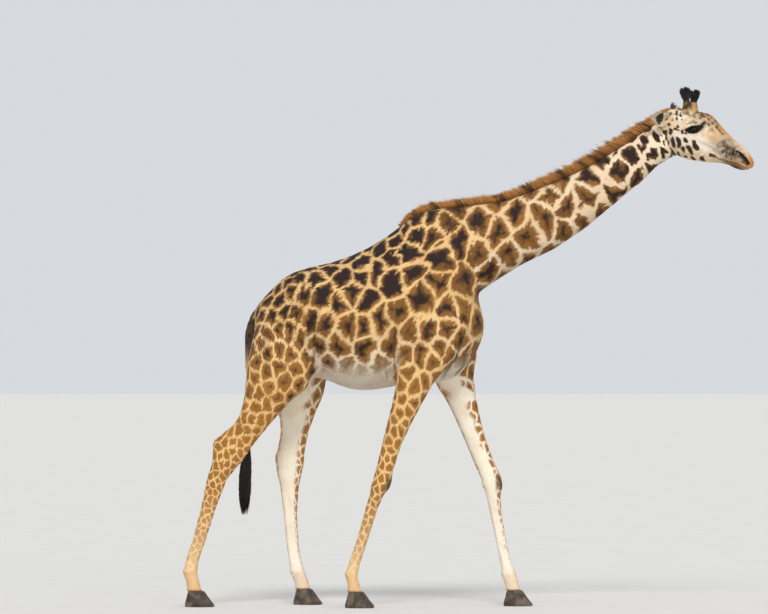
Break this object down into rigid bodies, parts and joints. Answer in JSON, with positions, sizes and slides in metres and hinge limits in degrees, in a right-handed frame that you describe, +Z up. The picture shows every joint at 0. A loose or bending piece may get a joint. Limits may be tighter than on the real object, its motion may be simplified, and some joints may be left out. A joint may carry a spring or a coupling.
{
  "type": "giraffe",
  "caption": "Life-size Masai giraffe cow in mid stride, neck low and forward, on cloven hooves; a still display model.",
  "frame": {"origin": "on the floor below the middle of the animal's bounding box", "axes": "+X forward to the nose, +Y to the animal's left, +Z up"},
  "size_m": [3.8784, 0.74, 3.5122],
  "materials": {
    "coat": "short flat fur, dark brown patches in a cream net, off-white below",
    "mane_hair": "stiff upright hair, orange brown with dark bars",
    "black_hair": "coarse black hair",
    "hoof_horn": "dark worn horn",
    "eye_gloss": "wet dark eye"
  },
  "bodies": {
    "root": {"trunk": "coat", "neck": "coat", "head": "coat", "foreleg_right_upper": "coat", "foreleg_right_lower": "coat", "foreleg_left_upper": "coat", "foreleg_left_lower": "coat", "hindleg_right_upper": "coat", "hindleg_right_lower": "coat", "hindleg_left_upper": "coat", "hindleg_left_lower": "coat", "ear_right": "coat", "horn_right": "coat", "horn_tuft_right": "black_hair", "eye_right": "eye_gloss", "ear_left": "coat", "horn_left": "coat", "horn_tuft_left": "black_hair", "eye_left": "eye_gloss", "mane": "mane_hair", "tail": "coat", "tail_tuft": "black_hair", "hoof_fore_right_outer": "hoof_horn", "hoof_fore_right_inner": "hoof_horn", "hoof_fore_left_outer": "hoof_horn", "hoof_fore_left_inner": "hoof_horn", "hoof_hind_right_outer": "hoof_horn", "hoof_hind_right_inner": "hoof_horn", "hoof_hind_left_outer": "hoof_horn", "hoof_hind_left_inner": "hoof_horn"}
  },
  "joints": []
}
